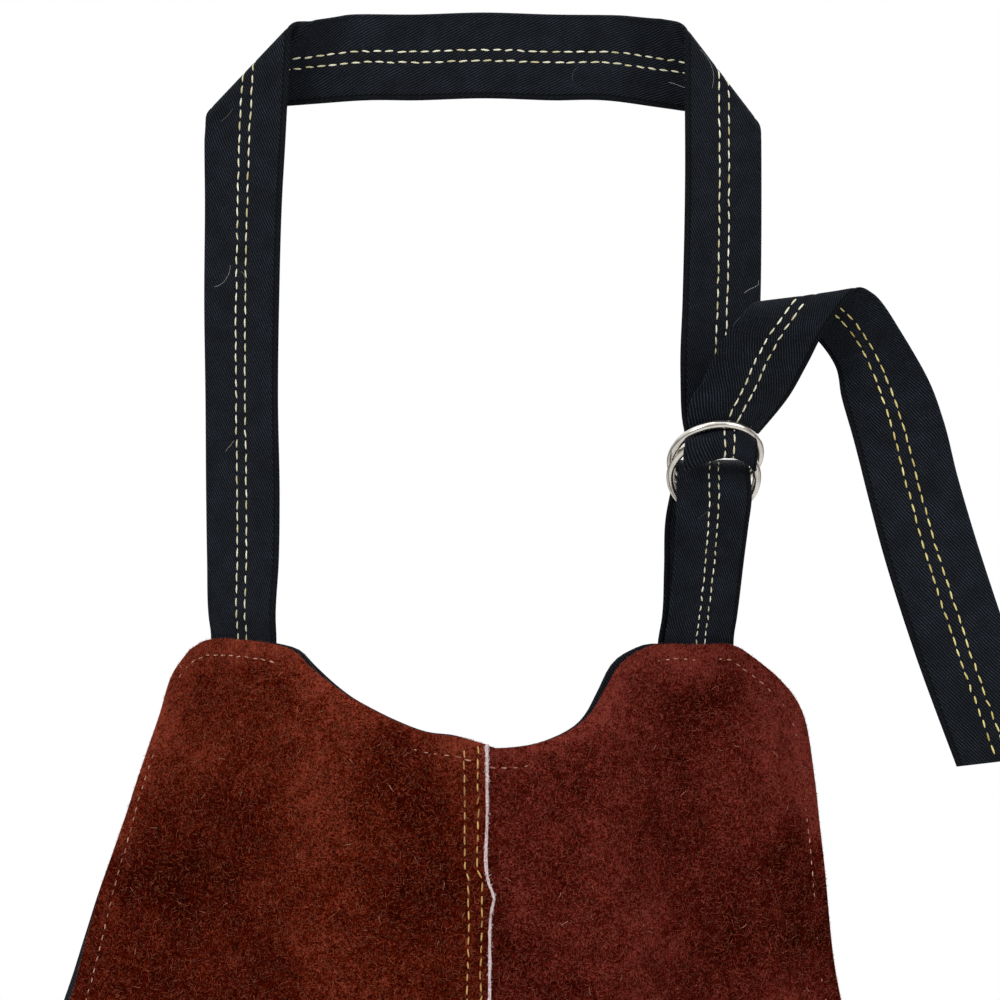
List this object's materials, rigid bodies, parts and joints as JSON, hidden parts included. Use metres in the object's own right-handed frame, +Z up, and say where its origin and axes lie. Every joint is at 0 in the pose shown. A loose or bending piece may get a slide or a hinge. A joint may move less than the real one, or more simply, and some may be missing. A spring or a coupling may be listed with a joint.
{
  "type": "leather grill apron",
  "caption": "Suede bib apron with a lapped centre seam, twill lining, and a twill neck strap that passes through wire rings and ends in a free tail.",
  "frame": {"origin": "middle of the neck strap's back stretch, on the face that lies against the neck", "axes": "+Z up along the hanging apron, +X to the viewer's right, +Y away from the viewer"},
  "size_m": [0.6062, 0.1235, 1.212],
  "materials": {
    "suede_left": "napped suede, orange brown",
    "suede_right": "napped suede, burgundy brown",
    "twill": "cotton twill, near-black navy",
    "lining": "matt twill, near black",
    "nickel": "bright nickel plate"
  },
  "bodies": {
    "root": {"left_panel": "suede_left", "right_panel": "suede_right", "lining": "lining", "neck_strap": "twill", "ring_tab": "twill", "front_ring": "nickel", "rear_ring": "nickel", "waist_tie_left": "twill", "waist_tie_right": "twill"}
  },
  "joints": []
}
